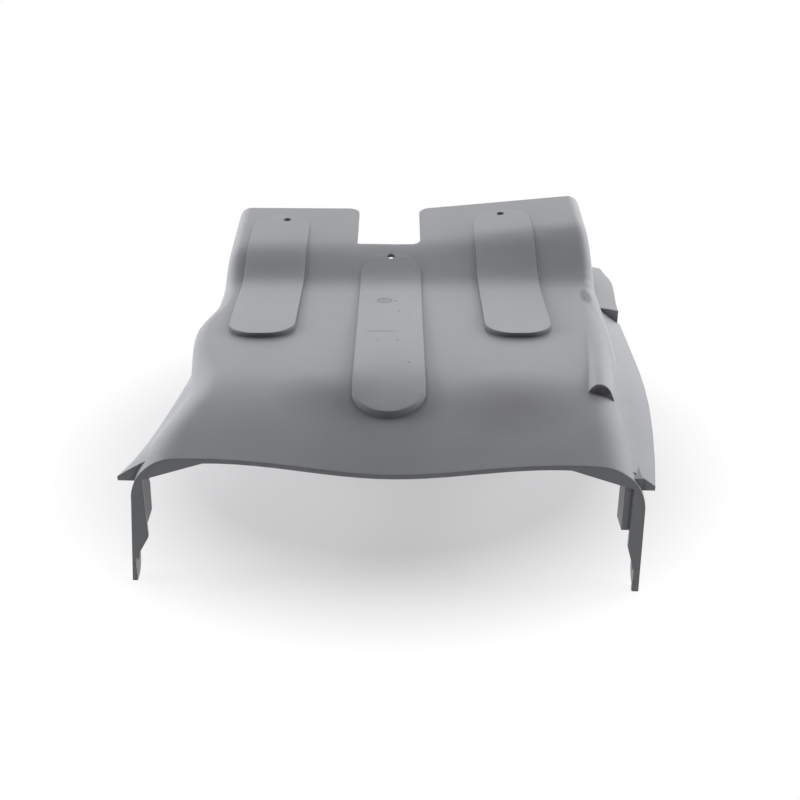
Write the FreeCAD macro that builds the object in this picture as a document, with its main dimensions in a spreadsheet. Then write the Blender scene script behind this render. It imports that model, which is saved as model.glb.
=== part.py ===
"""Skid plate: one moulded plastic shell, shown underside up on its two front legs.

Build axes, in millimetres: X across, Y back from the front edge, Z up from the feet.
The shell is made as a moulder makes it: an outer form less an inner form, then trimmed.
"""
import FreeCAD, Part
import math
import os

SIZES = {
    # overall shell
    "length": 397.0,
    "wall": 3.0,
    "panel_height": 110.0,
    "front_height": 93.8,
    "front_curve_length": 100.0,
    "front_dip": 8.9,
    "front_dip_length": 135.0,
    "front_dip_half_width": 109.0,
    "front_skew_angle": 2.2,
    "front_skew_length": 120.0,
    "tab_length": 80.5,
    "step_length": 42.5,
    "step_rise": 16.0,
    "crease_round": 9.0,
    "crease_slant": 0.066,
    "tab_rise": 9.0,
    "right_tab_twist": 14.3,
    # side walls: distance from the rib centre line, and corner radii
    "left_front_side": 166.5,
    "left_waist_side": 143.0,
    "left_waist_place": 106.0,
    "left_bulge_side": 148.2,
    "left_bulge_place": 182.0,
    "left_rear_side": 138.3,
    "left_rear_place": 238.0,
    "right_front_side": 164.0,
    "right_rear_side": 170.0,
    "right_rear_place": 300.0,
    "left_leg_splay": 5.0,
    "right_leg_splay": 1.0,
    "leg_splay_length": 56.0,
    "front_corner_radius": 32.0,
    "rear_corner_radius": 11.0,
    "corner_change_start": 60.0,
    "corner_change_length": 115.0,
    # ribs
    "rib_width": 50.0,
    "rib_pitch": 97.0,
    "centre_rib_front": 47.0,
    "centre_rib_rear_margin": 88.0,
    "centre_rib_lift": 5.4,
    "outer_rib_front": 161.0,
    "outer_rib_rear_margin": 18.0,
    "outer_rib_lift": 3.6,
    "outer_rib_end_radius": 21.0,
    "rib_rear_lift": 0.25,
    # front legs and arch
    "leg_depth": 28.0,
    "foot_depth": 16.0,
    "foot_height": 27.0,
    "foot_corner_radius": 12.0,
    "leg_hole_diameter": 9.0,
    "leg_hole_height": 16.0,
    "leg_flange": 8.5,
    "leg_flange_end": 34.0,
    "foot_flange": 0.4,
    "arch_corner_drop": 16.0,
    "arch_corner_width": 40.0,
    "gusset_reach": 13.5,
    "gusset_width": 11.0,
    "gusset_depth": 17.0,
    "gusset_low": 46.0,
    "gusset_height": 38.0,
    "gusset_recess": 2.5,
    # side skirts
    "skirt_front_height": 66.0,
    "skirt_height": 80.0,
    "rear_wall_start": 205.0,
    "rear_wall_slope_length": 85.0,
    # rear notch and holes
    "notch_left": 29.0,
    "notch_right": 25.0,
    "notch_depth": 73.0,
    "notch_corner_radius": 7.0,
    "tab_corner_radius": 10.0,
    "screw_hole_diameter": 6.5,
    "tab_hole_spacing": 190.0,
    "tab_hole_centre": 2.0,
    "tab_hole_edge": 26.0,
    "centre_hole_margin": 18.0,
    # flared wings
    "wing_start": 9.0,
    "right_wing_end": 245.0,
    "right_wing_front_reach": 171.0,
    "right_wing_reach": 187.0,
    "right_wing_reach_place": 170.0,
    "wing_front_height": 75.0,
    "wing_edge_height": 85.0,
    "wing_rise_end": 115.0,
    "left_wing_end": 172.0,
    "left_wing_front_reach": 176.0,
    "left_wing_rear_reach": 147.0,
    "wing_root_inset": 14.0,
    "wing_bulge": 0.6,
    "lobe_start": 243.0,
    "lobe_rear_margin": 55.0,
    "lobe_front_reach": 184.5,
    "lobe_reach": 189.0,
    "lobe_reach_place": 308.0,
    "lobe_rear_reach": 184.5,
    "lobe_edge_height": 97.5,
    "lobe_root_rise": 3.5,
    "lobe_root_inset": 6.0,
    # bead along the right crease
    "bead_front": 73.0,
    "bead_rear": 262.0,
    "bead_front_inner": 138.0,
    "bead_front_outer": 150.0,
    "bead_rear_inner": 152.5,
    "bead_rear_outer": 163.5,
    "bead_front_lift": 7.0,
    "bead_rear_lift": 0.8,
}

FORM_SECTIONS = 30
TOP_POINTS = 9
MARGIN = 20.0
QUARTER_ROUND = 0.5523
ARC_BOW = 1.0 - math.sqrt(0.5)
WING_SECTIONS = 8
LUMP_ROOT_DEPTH = 1.5
LUMP_WALL_DROP = 1.35
HOLLOW_REACH = 3.0
BEAD_SECTIONS = 7
BEAD_FOOT_INNER = 3.0
BEAD_FOOT_OUTER = 4.0
BEAD_DEPTH = 12.0
BOW_PULL = 4.0 / 3.0

doc = FreeCAD.newDocument("SkidPlate")
sheet = doc.addObject("Spreadsheet::Sheet", "Sizes")
for row, (alias, value) in enumerate(SIZES.items(), start=1):
    sheet.set("A%d" % row, alias)
    sheet.set("B%d" % row, str(value))
    sheet.setAlias("B%d" % row, alias)
doc.recompute()


def size(alias):
    """Value of a named cell."""
    return float(sheet.get(alias))


across = FreeCAD.Vector(1, 0, 0)
back = FreeCAD.Vector(0, 1, 0)
up = FreeCAD.Vector(0, 0, 1)
skew = math.tan(math.radians(size("front_skew_angle")))
step_end = size("length") - size("tab_length")
step_start = step_end - size("step_length")


def ease(ratio):
    """Smooth 0 to 1 step with level ends."""
    ratio = min(max(ratio, 0.0), 1.0)
    return ratio * ratio * (3.0 - 2.0 * ratio)


def along(y, *knots):
    """Smooth value at y through (place, value) knots, level at each knot."""
    place, value = knots[0]
    for next_place, next_value in knots[1:]:
        if y <= next_place:
            return value + (next_value - value) * ease((y - place) / (next_place - place))
        place, value = next_place, next_value
    return value


def skewed(x, y, z):
    """Point with the slant of the front edge, which fades towards the rear."""
    fade = 1.0 - ease(y / size("front_skew_length"))
    return FreeCAD.Vector(x, y - x * skew * fade, z)


def ramp(past):
    """Distance past a crease, rounded over a short length to each side of it."""
    half = size("crease_round")
    if past <= -half:
        return 0.0
    if past >= half:
        return past
    return (past + half) ** 2 / (4.0 * half)


def tab_crease(x):
    """Place of the slanted crease between the step and the tabs."""
    return step_end + size("crease_slant") * x


def step_share(x, y):
    """0 on the panel, 1 on the tabs, and a straight slope between."""
    end = tab_crease(x)
    return (ramp(y - step_start) - ramp(y - end)) / (end - step_start)


def panel_height(x, y):
    """Height of the panel, but for the dip of its front edge and the twist of its right tab."""
    front = min(max(y / size("front_curve_length"), 0.0), 1.0)
    rise = (size("panel_height") - size("front_height")) * math.sin(front * math.pi / 2.0)
    tab = size("tab_rise") * ramp(y - tab_crease(x)) / size("tab_length")
    return size("front_height") + rise + size("step_rise") * step_share(x, y) + tab


def top_height(x, y):
    """Height of the outer face of the panel."""
    dip_fade = max(1.0 - y / size("front_dip_length"), 0.0) ** 2
    dip_x = min(abs(x) / size("front_dip_half_width"), 1.0)
    dip = size("front_dip") * dip_fade * 0.5 * (1.0 + math.cos(math.pi * dip_x))
    twist_x = max(x - size("notch_right"), 0.0) / (size("right_rear_side") - size("notch_right"))
    return panel_height(x, y) - dip + size("right_tab_twist") * twist_x * step_share(x, y)


def left_side(y):
    """Outer face of the left wall."""
    return -along(
        y,
        (0.0, size("left_front_side")),
        (size("left_waist_place"), size("left_waist_side")),
        (size("left_bulge_place"), size("left_bulge_side")),
        (size("left_rear_place"), size("left_rear_side")),
    )


def right_side(y):
    """Outer face of the right wall."""
    return along(y, (0.0, size("right_front_side")), (size("right_rear_place"), size("right_rear_side")))


def corner_radius(y):
    """Radius between the panel and its side walls."""
    start = size("corner_change_start")
    rear = (start + size("corner_change_length"), size("rear_corner_radius"))
    return along(y, (start, size("front_corner_radius")), rear)


def bow(poles):
    """Edge along a smooth bow that its poles pull into shape."""
    curve = Part.BezierCurve()
    curve.setPoles(poles)
    return curve.toBSpline().toShape()


def section(y, inset):
    """Closed cross-section of the plate's form at y, inset by a wall."""
    left = left_side(y) + inset
    right = right_side(y) - inset
    radius = corner_radius(y) - inset
    pull = radius * (1.0 - QUARTER_ROUND)
    fade = 1.0 - ease(y / size("leg_splay_length"))
    step = (right - left - 2.0 * radius) / (TOP_POINTS - 1)
    top = []
    for index in range(TOP_POINTS):
        x = left + radius + index * step
        top.append(skewed(x, y, top_height(x, y) - inset))
    crown = Part.BSplineCurve()
    crown.interpolate(Points=top, Parameters=[index / (TOP_POINTS - 1) for index in range(TOP_POINTS)])
    left_top = top[0].z
    right_top = top[-1].z
    low_left = skewed(left - size("left_leg_splay") * fade, y, -inset)
    low_right = skewed(right + size("right_leg_splay") * fade, y, -inset)
    high_left = skewed(left, y, left_top - radius)
    high_right = skewed(right, y, right_top - radius)
    left_pulls = [skewed(left, y, left_top - pull), skewed(left + pull, y, left_top)]
    right_pulls = [skewed(right - pull, y, right_top), skewed(right, y, right_top - pull)]
    edges = [
        Part.LineSegment(low_left, high_left).toShape(),
        bow([high_left] + left_pulls + [top[0]]),
        crown.toShape(),
        bow([top[-1]] + right_pulls + [high_right]),
        Part.LineSegment(high_right, low_right).toShape(),
        Part.LineSegment(low_right, low_left).toShape(),
    ]
    return Part.Wire(edges)


def feature(name, shape):
    """Document object that holds a form made from the sheet's sizes."""
    item = doc.addObject("Part::Feature", name)
    item.Shape = shape
    return item


def boolean(kind, name, base, tool):
    """Cut or common of two objects."""
    item = doc.addObject("Part::" + kind, name)
    item.Base = base
    item.Tool = tool
    return item


def fuse_all(name, shapes):
    """Union of a list of objects."""
    item = doc.addObject("Part::MultiFuse", name)
    item.Shapes = shapes
    return item


def form(name, inset, front, rear):
    """Lofted form of the whole plate, from front to rear, inset by a wall."""
    spacing = (rear - front) / FORM_SECTIONS
    sections = [section(front + index * spacing, inset) for index in range(FORM_SECTIONS + 1)]
    return feature(name, Part.makeLoft(sections, True, True))


cavity = form("OuterPanelForm", 0.0, 0.0, size("length"))
core = form("InnerPanelForm", size("wall"), size("wall"), size("length") + MARGIN)


def rib_outline(name, x, front, rear, front_radius, inset):
    """Pad with rounded ends, drawn on the level of the feet."""
    half = size("rib_width") / 2.0 - inset
    radius = min(front_radius - inset, half)
    low = front + inset
    high = rear - inset
    bend = radius * ARC_BOW

    def at(across, place):
        return FreeCAD.Vector(x + across, place, size("skirt_height"))

    edges = [
        Part.LineSegment(at(half, low + radius), at(half, high - half)).toShape(),
        Part.Arc(at(half, high - half), at(0.0, high), at(-half, high - half)).toShape(),
        Part.LineSegment(at(-half, high - half), at(-half, low + radius)).toShape(),
    ]
    left_arc = Part.Arc(
        at(-half, low + radius), at(-half + bend, low + bend), at(-half + radius, low))
    right_arc = Part.Arc(
        at(half - radius, low), at(half - bend, low + bend), at(half, low + radius))
    edges.append(left_arc.toShape())
    if radius < half:
        edges.append(Part.LineSegment(at(-half + radius, low), at(half - radius, low)).toShape())
    edges.append(right_arc.toShape())
    return feature(name, Part.Face(Part.Wire(edges)))


def lifted(name, source, front, rear, lift):
    """Copy of a form, tipped up so that it stands proud by lift at front and little at rear."""
    item = feature(name, source.Shape.copy())
    tilt = math.degrees(math.atan2(lift - size("rib_rear_lift"), rear - front))
    pivot = FreeCAD.Vector(0.0, rear, size("panel_height"))
    item.Placement = FreeCAD.Placement(
        up * size("rib_rear_lift"), FreeCAD.Rotation(across, -tilt), pivot)
    return item


def rib(name, x, front, rear, front_radius, lift):
    """Raised pad: its outer lump and the hollow under it."""
    pads = []
    for side, source, inset in (("Outer", cavity, 0.0), ("Inner", core, size("wall"))):
        outline = rib_outline(name + side + "Outline", x, front, rear, front_radius, inset)
        block = doc.addObject("Part::Extrusion", name + side + "Block")
        block.Base = outline
        block.Dir = up
        block.DirMode = "Custom"
        block.Solid = True
        block.setExpression("LengthFwd", "Sizes.panel_height")
        top = lifted(name + side + "Top", source, front, rear, lift)
        pads.append(boolean("Common", name + side, top, block))
    return pads


def skin_height(x, y):
    """Height of the outer face of the panel or of its rounded corners."""
    radius = corner_radius(y)
    past_left = left_side(y) + radius - x
    past_right = x - right_side(y) + radius
    past = min(max(past_left, past_right, 0.0), radius)
    return top_height(x, y) - radius + math.sqrt(radius * radius - past * past)


def lump_section(poles, low):
    """Closed section under a bow, down to a level base."""
    first = FreeCAD.Vector(poles[0].x, poles[0].y, low)
    last = FreeCAD.Vector(poles[-1].x, poles[-1].y, low)
    return Part.Wire([
        bow(poles),
        Part.LineSegment(poles[-1], last).toShape(),
        Part.LineSegment(last, first).toShape(),
        Part.LineSegment(first, poles[0]).toShape(),
    ])


def wing_section(y, root, root_height, outer, outer_height, low):
    """Section of a flared wing: a slope from its sunk root to its outer edge."""
    bulge = size("wing_bulge")
    middle_height = (root_height + outer_height) / 2.0 + bulge
    middle = (root + outer) / 2.0 + math.copysign(bulge, outer)
    slope = [(root, root_height), (middle, middle_height), (outer, outer_height)]
    return lump_section([skewed(x, y, z) for x, z in slope], low)


def wing(name, root, root_height, edge, edge_height, low, start, end, front_wall, edge_shift):
    """Flared wing along one side: its outer lump and the hollow under it."""
    drop = size("wall") * LUMP_WALL_DROP
    lumps = []
    for layer, first, last, shift, lower in (
            ("Outer", start, end, 0.0, 0.0),
            ("Inner", start + front_wall, end - size("wall"), edge_shift, drop)):
        sections = []
        for index in range(WING_SECTIONS + 1):
            y = first + (last - first) * index / WING_SECTIONS
            outer = edge(y) + math.copysign(1.0, edge(y)) * shift
            base = low(y) - HOLLOW_REACH * lower
            sections.append(wing_section(
                y, root(y), root_height(y) - lower, outer, edge_height(y) - lower, base))
        lumps.append(feature(name + layer, Part.makeLoft(sections, True, True)))
    return lumps


def bead(name):
    """Bead along the right crease, which swells towards its front end, and the hollow under it."""
    front = size("bead_front")
    rear = size("bead_rear")
    lumps = []
    for layer, first, last, lower in (
            ("Outer", front, rear, 0.0),
            ("Inner", front + size("wall"), rear - size("wall"), size("wall") * LUMP_WALL_DROP)):
        sections = []
        for index in range(BEAD_SECTIONS + 1):
            y = first + (last - first) * index / BEAD_SECTIONS
            swell = ((rear - y) / (rear - front)) ** 2
            inner = size("bead_rear_inner") + (size("bead_front_inner") - size("bead_rear_inner")) * swell
            outer = size("bead_rear_outer") + (size("bead_front_outer") - size("bead_rear_outer")) * swell
            lift = size("bead_rear_lift") + (size("bead_front_lift") - size("bead_rear_lift")) * swell
            height = top_height(inner, y) + BOW_PULL * lift - lower
            foot = inner - BEAD_FOOT_INNER
            toe = outer + BEAD_FOOT_OUTER
            sink = LUMP_ROOT_DEPTH + lower
            sections.append(lump_section([
                skewed(foot, y, skin_height(foot, y) - sink),
                skewed(inner, y, height),
                skewed(outer, y, height),
                skewed(toe, y, skin_height(toe, y) - sink),
            ], size("panel_height") - BEAD_DEPTH - HOLLOW_REACH * lower))
        lumps.append(feature(name + layer, Part.makeLoft(sections, True, True)))
    return lumps


def right_wing_edge(y):
    """Outer edge of the right wing."""
    reach = (size("right_wing_reach_place") - y) / (size("right_wing_reach_place") - size("wing_start"))
    change = size("right_wing_front_reach") - size("right_wing_reach")
    return size("right_wing_reach") + change * max(reach, 0.0) ** 2


def left_wing_edge(y):
    """Outer edge of the left wing."""
    reach = (size("left_wing_end") - y) / (size("left_wing_end") - size("wing_start"))
    change = size("left_wing_front_reach") - size("left_wing_rear_reach")
    return -size("left_wing_rear_reach") - change * max(reach, 0.0) ** 2


def lobe_edge(y):
    """Outer edge of the lobe behind the right wing."""
    return along(
        y,
        (size("lobe_start"), size("lobe_front_reach")),
        (size("lobe_reach_place"), size("lobe_reach")),
        (size("length") - size("lobe_rear_margin"), size("lobe_rear_reach")),
    )


def right_wing_root(y):
    """Inner edge of the right wing, inside the wall."""
    return right_side(y) - size("wing_root_inset")


def left_wing_root(y):
    """Inner edge of the left wing, inside the wall."""
    return left_side(y) + size("wing_root_inset")


def lobe_root(y):
    """Inner edge of the lobe, inside the wall."""
    return right_side(y) - size("lobe_root_inset")


def right_root_height(y):
    """Height of the right wing's inner edge, sunk below the skin."""
    return skin_height(right_wing_root(y), y) - LUMP_ROOT_DEPTH


def left_root_height(y):
    """Height of the left wing's inner edge, sunk below the skin."""
    return skin_height(left_wing_root(y), y) - LUMP_ROOT_DEPTH


def lobe_root_height(y):
    """Height of the lobe where it leaves the wall."""
    return size("lobe_edge_height") + size("lobe_root_rise")


def wing_height(y):
    """Height of the outer edges of the wings."""
    front = (size("wing_start"), size("wing_front_height"))
    return along(y, front, (size("wing_rise_end"), size("wing_edge_height")))


def wing_low(y):
    """Height of the lower edge of the wings' rims."""
    return wing_height(y) - size("wall")


def lobe_height(y):
    """Height of the outer edge of the lobe."""
    return size("lobe_edge_height")


def lobe_low(y):
    """Level to which the lobe's wall goes down."""
    return 0.0


leg_clear = size("leg_depth") - size("wing_start")
outer_rib_rear = size("length") - size("outer_rib_rear_margin")
outers = [cavity]
inners = [core]
raised = [
    rib("CentreRib", 0.0, size("centre_rib_front"), size("length") - size("centre_rib_rear_margin"),
        size("rib_width") / 2.0, size("centre_rib_lift")),
    rib("LeftRib", -size("rib_pitch"), size("outer_rib_front"), outer_rib_rear,
        size("outer_rib_end_radius"), size("outer_rib_lift")),
    rib("RightRib", size("rib_pitch"), size("outer_rib_front"), outer_rib_rear,
        size("outer_rib_end_radius"), size("outer_rib_lift")),
    wing("LeftWing", left_wing_root, left_root_height, left_wing_edge, wing_height, wing_low,
         size("wing_start"), size("left_wing_end"), leg_clear, size("wall")),
    wing("RightWing", right_wing_root, right_root_height, right_wing_edge, wing_height, wing_low,
         size("wing_start"), size("right_wing_end"), leg_clear, size("wall")),
    wing("Lobe", lobe_root, lobe_root_height, lobe_edge, lobe_height, lobe_low,
         size("lobe_start"), size("length") - size("lobe_rear_margin"), size("wall"), -size("wall")),
    bead("Bead"),
]
for outer, inner in raised:
    outers.append(outer)
    inners.append(inner)
outer_form = fuse_all("OuterForm", outers)
inner_form = fuse_all("InnerForm", inners)
shell = boolean("Cut", "Shell", outer_form, inner_form)


def prism(name, wire, direction, length_expression, symmetric):
    """Cutting prism of a closed outline."""
    item = doc.addObject("Part::Extrusion", name)
    item.Base = feature(name + "Outline", Part.Face(wire))
    item.DirMode = "Custom"
    item.Dir = direction
    item.Solid = True
    item.Symmetric = symmetric
    item.setExpression("LengthFwd", length_expression)
    return item


def side_gap():
    """Outline, seen from the side, of the open space between the front legs and the rear walls."""
    def at(y, z):
        return FreeCAD.Vector(0, y, z)

    foot = size("foot_depth")
    leg = size("leg_depth")
    round_foot = size("foot_corner_radius")
    skirt = size("skirt_height")
    rear = size("rear_wall_start")
    bend = round_foot * (1.0 - ARC_BOW)
    foot_arc = Part.Arc(
        at(foot - round_foot, 0.0),
        at(foot - round_foot + bend, round_foot - bend),
        at(foot, round_foot))
    runs = [
        at(foot, round_foot),
        at(foot, size("foot_height")),
        at(leg, size("foot_height") + leg - foot),
        at(leg, size("skirt_front_height")),
        at(size("wing_rise_end"), skirt),
        at(rear, skirt),
        at(rear + size("rear_wall_slope_length"), 0.0),
        at(rear + size("rear_wall_slope_length"), -MARGIN),
        at(foot - round_foot, -MARGIN),
        at(foot - round_foot, 0.0),
    ]
    return Part.Wire([foot_arc.toShape()] + Part.makePolygon(runs).Edges)


def arch():
    """Outline, seen from the front, of the opening between the front legs."""
    def at(x, z):
        return FreeCAD.Vector(x, -MARGIN, z)

    left = left_side(0.0)
    right = right_side(0.0)
    flange = size("leg_flange")
    foot_flange = size("wall") + size("foot_flange")
    corner = size("front_height") - size("arch_corner_drop")
    left_end = left + flange + size("arch_corner_width")
    right_end = right - flange - size("arch_corner_width")
    step = (right_end - left_end) / (TOP_POINTS - 1)
    crown_points = []
    for index in range(TOP_POINTS):
        x = left_end + index * step
        crown_points.append(at(x, top_height(x, 0.0) - size("wall")))
    crown = Part.BSplineCurve()
    crown.interpolate(crown_points)
    runs = [
        crown_points[-1],
        at(right - flange, corner),
        at(right - flange, size("leg_flange_end")),
        at(right - foot_flange, size("leg_hole_height")),
        at(right - foot_flange, -MARGIN),
        at(left + foot_flange - size("left_leg_splay"), -MARGIN),
        at(left + foot_flange - size("left_leg_splay"), size("leg_hole_height")),
        at(left + flange, size("leg_flange_end")),
        at(left + flange, corner),
        crown_points[0],
    ]
    return Part.Wire([crown.toShape()] + Part.makePolygon(runs).Edges)


def notch():
    """Outline, seen from above, of the rear notch and the rounded corners of the tabs beside it."""
    def at(x, y):
        return FreeCAD.Vector(x, y, size("skirt_height"))

    def corner(start, middle, end):
        return Part.Arc(start, middle, end).toShape()

    left = -size("notch_left")
    right = size("notch_right")
    rear = size("length")
    floor = rear - size("notch_depth")
    tab = size("tab_corner_radius")
    inner = size("notch_corner_radius")
    tab_bow = tab * ARC_BOW
    inner_bow = inner * ARC_BOW
    runs = Part.makePolygon([at(left, rear - tab), at(left, floor), at(right - inner, floor)]).Edges
    runs.append(corner(
        at(right - inner, floor), at(right - inner_bow, floor + inner_bow), at(right, floor + inner)))
    runs.append(Part.LineSegment(at(right, floor + inner), at(right, rear - tab)).toShape())
    runs.append(corner(at(right, rear - tab), at(right + tab_bow, rear - tab_bow), at(right + tab, rear)))
    runs += Part.makePolygon([
        at(right + tab, rear),
        at(right + tab, rear + MARGIN),
        at(left - tab, rear + MARGIN),
        at(left - tab, rear),
    ]).Edges
    runs.append(corner(at(left - tab, rear), at(left - tab_bow, rear - tab_bow), at(left, rear - tab)))
    return Part.Wire(runs)


def hole(name, place, axis, diameter):
    """Round hole: a cutting cylinder centred on a place."""
    item = doc.addObject("Part::Cylinder", name)
    item.setExpression("Radius", "Sizes.%s / 2" % diameter)
    item.setExpression("Height", "Sizes.panel_height")
    start = place - axis * (size("panel_height") / 2.0)
    item.Placement = FreeCAD.Placement(start, FreeCAD.Rotation(up, axis))
    return item


tab_hole_y = size("length") - size("tab_hole_edge")
left_hole_x = size("tab_hole_centre") - size("tab_hole_spacing") / 2.0
right_hole_x = size("tab_hole_centre") + size("tab_hole_spacing") / 2.0
centre_hole_y = size("length") - size("notch_depth") - size("centre_hole_margin")
leg_hole_y = size("foot_depth") / 2.0
left_leg_place = skewed(left_side(0.0), leg_hole_y, size("leg_hole_height"))
right_leg_place = skewed(right_side(0.0), leg_hole_y, size("leg_hole_height"))
level = size("panel_height")
cutters = [
    prism("SideGap", side_gap(), across - back * skew, "2 * Sizes.length", True),
    prism("Arch", arch(), back, "2 * Sizes.leg_depth", False),
    prism("Notch", notch(), up, "Sizes.panel_height", False),
    hole("LeftTabHole", FreeCAD.Vector(left_hole_x, tab_hole_y, level), up, "screw_hole_diameter"),
    hole("RightTabHole", FreeCAD.Vector(right_hole_x, tab_hole_y, level), up, "screw_hole_diameter"),
    hole("CentreHole", FreeCAD.Vector(0.0, centre_hole_y, level), up, "screw_hole_diameter"),
    hole("LeftLegHole", left_leg_place, across, "leg_hole_diameter"),
    hole("RightLegHole", right_leg_place, across, "leg_hole_diameter"),
]
trimmed = boolean("Cut", "TrimmedShell", shell, fuse_all("Cutters", cutters))
gusset = doc.addObject("Part::Box", "RightLegGusset")
gusset.setExpression("Length", "Sizes.gusset_width")
gusset.setExpression("Width", "Sizes.gusset_depth")
gusset.setExpression("Height", "Sizes.gusset_height")
gusset_x = right_side(0.0) - size("gusset_reach")
gusset.Placement.Base = skewed(gusset_x, 0.0, size("gusset_low")) + back * size("gusset_recess")
plate = fuse_all("Plate", [trimmed, gusset])
plate.Label = "skid_plate"
doc.recompute()

box = plate.Shape.optimalBoundingBox(False, False)
plate.Placement = FreeCAD.Placement(
    FreeCAD.Vector(-box.Center.x, -box.Center.y, -box.ZMin), FreeCAD.Rotation())
doc.recompute()

for item in doc.Objects:
    if "Invalid" in item.State or "Error" in item.State:
        raise RuntimeError("%s failed to build" % item.Name)
if plate.Shape.isNull() or not plate.Shape.isValid():
    raise RuntimeError("the plate's solid is not valid")
if len(plate.Shape.Solids) != 1:
    raise RuntimeError("the plate has %d solids" % len(plate.Shape.Solids))

os.makedirs("parts", exist_ok=True)
plate.Shape.exportStep("parts/%s.step" % plate.Label)
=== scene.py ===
"""Studio view of a moulded grey plastic skid plate, standing on its front legs and rear side walls."""
import math

import bpy
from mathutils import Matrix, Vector

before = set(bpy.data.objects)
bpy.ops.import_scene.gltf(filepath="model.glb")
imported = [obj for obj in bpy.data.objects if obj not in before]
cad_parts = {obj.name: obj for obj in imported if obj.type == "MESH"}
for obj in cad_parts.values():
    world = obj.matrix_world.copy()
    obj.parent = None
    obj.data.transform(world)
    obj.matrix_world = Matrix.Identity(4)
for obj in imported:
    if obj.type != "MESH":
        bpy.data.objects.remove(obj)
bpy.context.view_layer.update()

# The plate's own axes in the frame, in metres: its rib centre line and its front edge.
RIB_CENTRE_X = -0.00648
FRONT_EDGE_Y = -0.19533

# Camera, measured from those axes.
CAMERA_ASIDE = 0.0076
CAMERA_DISTANCE = 0.6595
CAMERA_HEIGHT = 0.467
CAMERA_PITCH_DOWN = math.radians(26.5)
CAMERA_CLIP_START = 0.01
LENS_MM = 54.0
SENSOR_MM = 36.0

# Edge rounding of the moulding, and the weld of its faces, in metres.
EDGE_ROUND = 0.0014
EDGE_SAMPLES = 4
WELD_DISTANCE = 0.00002

# Angle above which an edge of the moulding stays sharp.
SHARP_ANGLE = math.radians(28.0)

# Reach of the shade painted in the moulding's corners, in metres, and the open shares at which it is full
# and gone.
CORNER_REACH = 0.007
CORNER_SAMPLES = 6
CORNER_FULL_SHADE = 0.40
CORNER_NO_SHADE = 0.85

# Moulding marks on the centre rib: across and back from the axes, and size, in metres.
DATE_RING = (-0.0045, 0.2308, 0.0054)
RING_WIDTH = 0.0014
RING_DEPTH_OF_TONE = 0.95
DOT_CORE = 0.4
DOTS = (
    (0.0041, 0.2295, 0.0016),
    (0.0068, 0.2063, 0.0012),
    (0.0058, 0.1486, 0.0012),
    (-0.0089, 0.1480, 0.0010),
    (0.0139, 0.1090, 0.0013),
)

# Dark places, each with its centre across, back and up from the axes and the floor, its radii and
# its depth of tone: painted shade in the bead's front mouth and rear pocket, dark dashes along the left
# wing's edge, and the real marks of a scratch and the ring.
SHADE_AND_MARK_SPOTS = (
    ((0.1455, 0.0705, 0.1095), (0.0085, 0.0028, 0.0050), 0.95),
    ((0.1575, 0.2440, 0.1105), (0.0055, 0.0190, 0.0300), 0.85),
    ((-0.1495, 0.1250, 0.0850), (0.0022, 0.0070, 0.0150), 0.80),
    ((-0.1560, 0.0980, 0.0840), (0.0022, 0.0050, 0.0150), 0.70),
    ((-0.0060, 0.1660, 0.1135), (0.0150, 0.0016, 0.0080), 0.60),
    ((-0.0045, 0.2308, 0.1135), (0.0060, 0.0060, 0.0080), 0.55),
)
SHADE_AND_MARK_CORE = 0.55

# Soft dark patches painted on the front slope as the dark reflections there, given in the same way.
PAINTED_REFLECTION_PATCHES = (
    ((0.0880, 0.0620, 0.0980), (0.0560, 0.0420, 0.0900), 0.75),
    ((-0.0420, 0.0720, 0.0980), (0.0420, 0.0320, 0.0900), 0.55),
)
PAINTED_REFLECTION_CORE = 0.1

# Colours of the plastic, its marks, and the painted shade and dark reflections.
PLASTIC_DARK = (0.20, 0.205, 0.217, 1.0)
PLASTIC_LIGHT = (0.23, 0.235, 0.247, 1.0)
PLASTIC_FLOW = (0.26, 0.265, 0.275, 1.0)
PLASTIC_RUBBED = (0.36, 0.36, 0.37, 1.0)
# Colour of the painted dark reflections on the front slope.
PAINTED_REFLECTION_COLOUR = (0.10, 0.10, 0.105, 1.0)
MARK_COLOUR = (0.06, 0.06, 0.065, 1.0)
# Colour of the painted shade in the bead's pockets, the dashes on the left wing's edge, and the scratch and
# ring.
SHADE_AND_MARK_COLOUR = (0.022, 0.022, 0.024, 1.0)
PAINTED_CORNER_SHADE_COLOUR = (0.05, 0.05, 0.055, 1.0)
FLOW_SHARE = 0.35
RUB_SHARE = 0.1
ROUGHNESS_LOW = 0.42
ROUGHNESS_HIGH = 0.48

# Noise of the plastic: scale and detail of each, and the stretch of the streaks along the axes.
CLOUD_NOISE = (14.0, 4.0)
GRAIN_NOISE = (2600.0, 2.0)
PATCHY_NOISE = (420.0, 3.0)
PATCHY_LOW = 0.45
FLOW_NOISE = (1.0, 3.0)
FLOW_STRETCH = (26.0, 5.0, 26.0)
RUB_NOISE = (1.0, 2.0)
RUB_STRETCH = (700.0, 30.0, 60.0)
RUB_TURN = 0.5
RUB_FROM = 0.68
RUB_FULL = 0.82

# Bumps of the plastic: strength, and depth in metres.
CLOUD_BUMP = (0.08, 0.004)
GRAIN_BUMP = (0.06, 0.0003)
MARK_BUMP = (-0.5, 0.0005)

# Floor: its place, colours, and the ring in which it turns white to the camera.
FLOOR_SIZE = 12.0
FLOOR_DROP = 0.0005
FLOOR_DARK = (0.66, 0.66, 0.67, 1.0)
FLOOR_LIGHT = (0.69, 0.69, 0.70, 1.0)
FLOOR_NOISE = (8.0, 2.0)
FLOOR_ROUGHNESS = 0.6
SHADE_CENTRE_BACK = 0.20
SHADE_INNER = 0.16
SHADE_OUTER = 0.27
SHADE_WHITENING = 0.25

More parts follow.
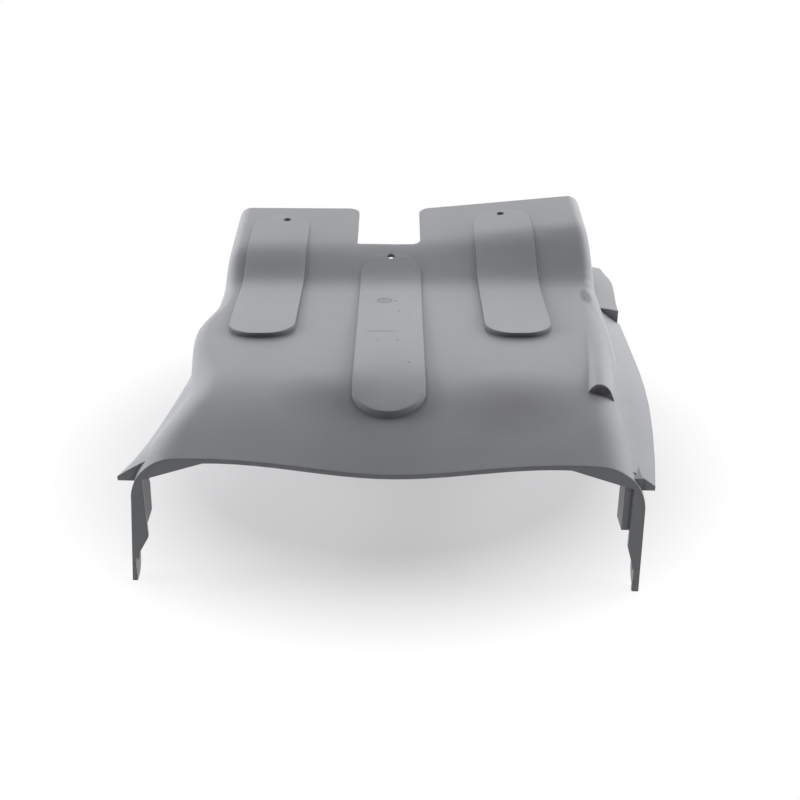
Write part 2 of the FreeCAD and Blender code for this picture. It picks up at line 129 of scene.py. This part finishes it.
# Lamps: name, place, width, height, power, and whether the gloss shows them.
LAMP_TARGET = (0.0, 0.0, 0.1)
LAMPS = (
    ("left_side", (-1.5, 0.55, 0.45), 1.8, 1.0, 50.0, False),
    ("right_side", (1.5, 0.55, 0.45), 1.8, 1.0, 50.0, False),
    ("overhead", (0.0, -0.1, 1.4), 1.2, 0.8, 1.5, True),
    ("rear", (0.0, 1.6, 0.70), 2.6, 0.8, 9.0, True),
)

# Surround: white where it is seen, and as a light dim in front and brighter behind.
WHITE = (1.0, 1.0, 1.0, 1.0)
SURROUND_COLOUR = (0.93, 0.96, 1.0, 1.0)
SURROUND_FRONT = 0.06
SURROUND_REAR = 0.35
SURROUND_TURN = 0.6

# Colour sockets of the Mix node.
MIX_FIRST = 6
MIX_SECOND = 7
MIX_RESULT = 2


def new_material(name):
    """Node material, its tree and its shader."""
    material = bpy.data.materials.new(name)
    material.use_nodes = True
    tree = material.node_tree
    shader = tree.nodes["Principled BSDF"]
    return material, tree, shader


def noise(tree, coordinates, scale, detail):
    """Noise texture on given coordinates."""
    node = tree.nodes.new("ShaderNodeTexNoise")
    node.inputs["Scale"].default_value = scale
    node.inputs["Detail"].default_value = detail
    tree.links.new(coordinates, node.inputs["Vector"])
    return node.outputs["Fac"]


def remap(tree, value, low, high, from_low=0.3, from_high=0.7):
    """Value spread over a new range. The old range is the usual one of a noise."""
    node = tree.nodes.new("ShaderNodeMapRange")
    node.inputs["From Min"].default_value = from_low
    node.inputs["From Max"].default_value = from_high
    node.inputs["To Min"].default_value = low
    node.inputs["To Max"].default_value = high
    tree.links.new(value, node.inputs["Value"])
    return node.outputs["Result"]


def stretched(tree, coordinates, scale, turn=0.0):
    """Coordinates scaled along each axis and turned about the vertical."""
    node = tree.nodes.new("ShaderNodeMapping")
    node.inputs["Scale"].default_value = scale
    node.inputs["Rotation"].default_value = (0.0, 0.0, turn)
    tree.links.new(coordinates, node.inputs["Vector"])
    return node.outputs["Vector"]


def mix_colour(tree, share, first, second):
    """Mix of two colours, either of which may be a socket."""
    node = tree.nodes.new("ShaderNodeMix")
    node.data_type = "RGBA"
    tree.links.new(share, node.inputs["Factor"])
    for index, value in ((MIX_FIRST, first), (MIX_SECOND, second)):
        if isinstance(value, tuple):
            node.inputs[index].default_value = value
        else:
            tree.links.new(value, node.inputs[index])
    return node.outputs[MIX_RESULT]


def bump(tree, height, strength, distance, normal):
    """Bump from a height, on top of another normal."""
    node = tree.nodes.new("ShaderNodeBump")
    node.inputs["Strength"].default_value = strength
    node.inputs["Distance"].default_value = distance
    tree.links.new(height, node.inputs["Height"])
    tree.links.new(normal, node.inputs["Normal"])
    return node.outputs["Normal"]


def distance_between(tree, place, point):
    """Distance of a place from a fixed point."""
    node = tree.nodes.new("ShaderNodeVectorMath")
    node.operation = "DISTANCE"
    node.inputs[1].default_value = point
    tree.links.new(place, node.inputs[0])
    return node.outputs["Value"]


def distance_from(tree, place, across, back):
    """Distance, seen from above, from a point given on the plate's own axes."""
    flat = tree.nodes.new("ShaderNodeVectorMath")
    flat.operation = "MULTIPLY"
    flat.inputs[1].default_value = (1.0, 1.0, 0.0)
    tree.links.new(place, flat.inputs[0])
    point = (RIB_CENTRE_X + across, FRONT_EDGE_Y + back, 0.0)
    return distance_between(tree, flat.outputs["Vector"], point)


def arithmetic(tree, operation, first, second):
    """Sum, difference or the like of two values, either of which may be a number."""
    node = tree.nodes.new("ShaderNodeMath")
    node.operation = operation
    for socket, value in zip(node.inputs, (first, second)):
        if isinstance(value, float):
            socket.default_value = value
        else:
            tree.links.new(value, socket)
    return node.outputs["Value"]


def moulding_marks(tree, place):
    """Mask of the small round marks on the centre rib: a ring and a few dots."""
    across, back, radius = DATE_RING
    off_ring = arithmetic(tree, "SUBTRACT", distance_from(tree, place, across, back), radius)
    off_ring = arithmetic(tree, "ABSOLUTE", off_ring, 0.0)
    marks = remap(tree, off_ring, RING_DEPTH_OF_TONE, 0.0, 0.0, RING_WIDTH)
    for across, back, radius in DOTS:
        dot = remap(tree, distance_from(tree, place, across, back), 1.0, 0.0, DOT_CORE * radius, radius)
        marks = arithmetic(tree, "MAXIMUM", marks, dot)
    return marks


def spots(tree, place, listed, core):
    """Mask of listed round places, full inside a core share of the radius and fading to its edge."""
    mask = 0.0
    for (across, back, up), radii, depth in listed:
        scale = tuple(1.0 / radius for radius in radii)
        centre = (RIB_CENTRE_X + across, FRONT_EDGE_Y + back, up)
        middle = tuple(value * share for value, share in zip(centre, scale))
        off_centre = distance_between(tree, stretched(tree, place, scale), middle)
        mask = arithmetic(tree, "MAXIMUM", mask, remap(tree, off_centre, depth, 0.0, core, 1.0))
    return mask


def corner_shade(tree):
    """Mask of the shade painted into the moulding's inner corners."""
    corner = tree.nodes.new("ShaderNodeAmbientOcclusion")
    corner.samples = CORNER_SAMPLES
    corner.only_local = True
    corner.inputs["Distance"].default_value = CORNER_REACH
    return remap(tree, corner.outputs["AO"], 1.0, 0.0, CORNER_FULL_SHADE, CORNER_NO_SHADE)


def rounded_edges(tree):
    """Normal that rounds the moulding's edges."""
    node = tree.nodes.new("ShaderNodeBevel")
    node.samples = EDGE_SAMPLES
    node.inputs["Radius"].default_value = EDGE_ROUND
    return node.outputs["Normal"]


def grey_plastic():
    """Satin moulded plastic with flow clouding, fine grain, light rubbing and marks, with painted shade in
    corners and pockets and painted dark reflections on the front slope.
    """
    material, tree, shader = new_material("grey_plastic_satin")
    place = tree.nodes.new("ShaderNodeTexCoord").outputs["Object"]
    clouds = noise(tree, place, *CLOUD_NOISE)
    flow = noise(tree, stretched(tree, place, FLOW_STRETCH), *FLOW_NOISE)
    grain = noise(tree, place, *GRAIN_NOISE)
    rub = noise(tree, stretched(tree, place, RUB_STRETCH, RUB_TURN), *RUB_NOISE)
    marks = moulding_marks(tree, place)
    patchy = remap(tree, noise(tree, place, *PATCHY_NOISE), PATCHY_LOW, 1.0)
    # Painted shade in the bead's pockets, dashes on the left wing's edge, and a real scratch and ring,
    # broken up by noise.
    shade_and_marks = arithmetic(tree, "MULTIPLY", spots(tree, place, SHADE_AND_MARK_SPOTS, SHADE_AND_MARK_CORE), patchy)

    base = mix_colour(tree, remap(tree, clouds, 0.0, 1.0), PLASTIC_DARK, PLASTIC_LIGHT)
    base = mix_colour(tree, remap(tree, flow, 0.0, FLOW_SHARE), base, PLASTIC_FLOW)
    base = mix_colour(tree, remap(tree, rub, 0.0, RUB_SHARE, RUB_FROM, RUB_FULL), base, PLASTIC_RUBBED)
    base = mix_colour(tree, marks, base, MARK_COLOUR)
    # Painted dark reflections on the front slope either side of the centre rib.
    base = mix_colour(tree, spots(tree, place, PAINTED_REFLECTION_PATCHES, PAINTED_REFLECTION_CORE), base, PAINTED_REFLECTION_COLOUR)
    base = mix_colour(tree, shade_and_marks, base, SHADE_AND_MARK_COLOUR)
    # Painted shade in the moulding's inner corners.
    base = mix_colour(tree, corner_shade(tree), base, PAINTED_CORNER_SHADE_COLOUR)
    tree.links.new(base, shader.inputs["Base Color"])
    roughness = remap(tree, clouds, ROUGHNESS_LOW, ROUGHNESS_HIGH)
    tree.links.new(roughness, shader.inputs["Roughness"])

    soft = bump(tree, clouds, *CLOUD_BUMP, rounded_edges(tree))
    fine = bump(tree, grain, *GRAIN_BUMP, soft)
    sunk = bump(tree, marks, *MARK_BUMP, fine)
    tree.links.new(sunk, shader.inputs["Normal"])
    return material


def smooth_faces(item):
    """Modifier that shades the moulding's faces as one smooth skin between its sharp edges."""
    group = bpy.data.node_groups.new("smooth_faces", "GeometryNodeTree")
    group.interface.new_socket("Geometry", in_out="INPUT", socket_type="NodeSocketGeometry")
    group.interface.new_socket("Geometry", in_out="OUTPUT", socket_type="NodeSocketGeometry")
    start = group.nodes.new("NodeGroupInput")
    end = group.nodes.new("NodeGroupOutput")
    plain = group.nodes.new("GeometryNodeRemoveAttribute")
    plain.inputs["Name"].default_value = "custom_normal"
    weld = group.nodes.new("GeometryNodeMergeByDistance")
    weld.inputs["Distance"].default_value = WELD_DISTANCE
    faces = group.nodes.new("GeometryNodeSetShadeSmooth")
    faces.domain = "FACE"
    faces.inputs["Shade Smooth"].default_value = True
    angle = group.nodes.new("GeometryNodeInputMeshEdgeAngle")
    soft = group.nodes.new("FunctionNodeCompare")
    soft.operation = "LESS_THAN"
    soft.inputs["B"].default_value = SHARP_ANGLE
    edges = group.nodes.new("GeometryNodeSetShadeSmooth")
    edges.domain = "EDGE"
    chain = (start, plain, weld, faces, edges, end)
    for before, after in zip(chain, chain[1:]):
        group.links.new(before.outputs["Geometry"], after.inputs["Geometry"])
    group.links.new(angle.outputs["Unsigned Angle"], soft.inputs["A"])
    group.links.new(soft.outputs["Result"], edges.inputs["Shade Smooth"])
    modifier = item.modifiers.new("smooth_faces", "NODES")
    modifier.node_group = group


def background_seen(tree):
    """1 for the rays that show the background: the camera's, and those off gloss or through glass."""
    path = tree.nodes.new("ShaderNodeLightPath")
    seen = arithmetic(tree, "MAXIMUM", path.outputs["Is Camera Ray"], path.outputs["Is Glossy Ray"])
    return arithmetic(tree, "MAXIMUM", seen, path.outputs["Is Transmission Ray"])


def mix_shaders(tree, share, first, second, output):
    """Mix of two shaders, joined to the surface of an output node."""
    mix = tree.nodes.new("ShaderNodeMixShader")
    tree.links.new(share, mix.inputs["Fac"])
    tree.links.new(first, mix.inputs[1])
    tree.links.new(second, mix.inputs[2])
    tree.links.new(mix.outputs["Shader"], tree.nodes[output].inputs["Surface"])


def studio_floor():
    """Pale floor that turns white to the camera away from the plate."""
    material, tree, shader = new_material("pale_floor")
    place = tree.nodes.new("ShaderNodeTexCoord").outputs["Object"]
    tint = mix_colour(tree, noise(tree, place, *FLOOR_NOISE), FLOOR_DARK, FLOOR_LIGHT)
    tree.links.new(tint, shader.inputs["Base Color"])
    shader.inputs["Roughness"].default_value = FLOOR_ROUGHNESS
    white = tree.nodes.new("ShaderNodeEmission")
    white.inputs["Color"].default_value = WHITE
    away = distance_from(tree, place, 0.0, SHADE_CENTRE_BACK)
    fade = remap(tree, away, SHADE_WHITENING, 1.0, SHADE_INNER, SHADE_OUTER)
    seen = arithmetic(tree, "MULTIPLY", fade, background_seen(tree))
    mix_shaders(tree, seen, shader.outputs["BSDF"], white.outputs["Emission"], "Material Output")
    bpy.ops.mesh.primitive_plane_add(size=FLOOR_SIZE, location=(0.0, 0.0, -FLOOR_DROP))
    floor = bpy.context.object
    floor.name = "studio_floor"
    floor.data.materials.append(material)


def area_light(name, place, width, height, power, in_gloss):
    """Soft rectangular lamp that faces the plate."""
    lamp = bpy.data.lights.new(name, "AREA")
    lamp.shape = "RECTANGLE"
    lamp.size = width
    lamp.size_y = height
    lamp.energy = power
    item = bpy.data.objects.new(name, lamp)
    item.location = place
    item.rotation_euler = (Vector(LAMP_TARGET) - Vector(place)).to_track_quat("-Z", "Y").to_euler()
    item.visible_glossy = in_gloss
    bpy.context.scene.collection.objects.link(item)


def surround():
    """World that is white where it is seen and a dim light elsewhere."""
    world = bpy.data.worlds.new("studio")
    bpy.context.scene.world = world
    world.use_nodes = True
    tree = world.node_tree
    toward = tree.nodes.new("ShaderNodeTexCoord").outputs["Generated"]
    parts = tree.nodes.new("ShaderNodeSeparateXYZ")
    tree.links.new(toward, parts.inputs["Vector"])
    dim = remap(tree, parts.outputs["Y"], SURROUND_FRONT, SURROUND_REAR, -SURROUND_TURN, SURROUND_TURN)
    background = tree.nodes["Background"]
    background.inputs["Color"].default_value = SURROUND_COLOUR
    tree.links.new(dim, background.inputs["Strength"])
    white = tree.nodes.new("ShaderNodeBackground")
    white.inputs["Color"].default_value = WHITE
    white.inputs["Strength"].default_value = 1.0
    shown = white.outputs["Background"]
    mix_shaders(tree, background_seen(tree), background.outputs["Background"], shown, "World Output")


def camera():
    """Camera at the photograph's place and angle."""
    data = bpy.data.cameras.new("camera")
    data.lens = LENS_MM
    data.sensor_width = SENSOR_MM
    data.clip_start = CAMERA_CLIP_START
    item = bpy.data.objects.new("camera", data)
    item.location = (RIB_CENTRE_X + CAMERA_ASIDE, FRONT_EDGE_Y - CAMERA_DISTANCE, CAMERA_HEIGHT)
    item.rotation_euler = (math.pi / 2 - CAMERA_PITCH_DOWN, 0.0, 0.0)
    bpy.context.scene.collection.objects.link(item)
    bpy.context.scene.camera = item


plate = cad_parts["skid_plate"]
plate.data.materials.clear()
plate.data.materials.append(grey_plastic())
smooth_faces(plate)
studio_floor()
for lamp_values in LAMPS:
    area_light(*lamp_values)
surround()
camera()
bpy.context.scene.view_settings.view_transform = "Standard"
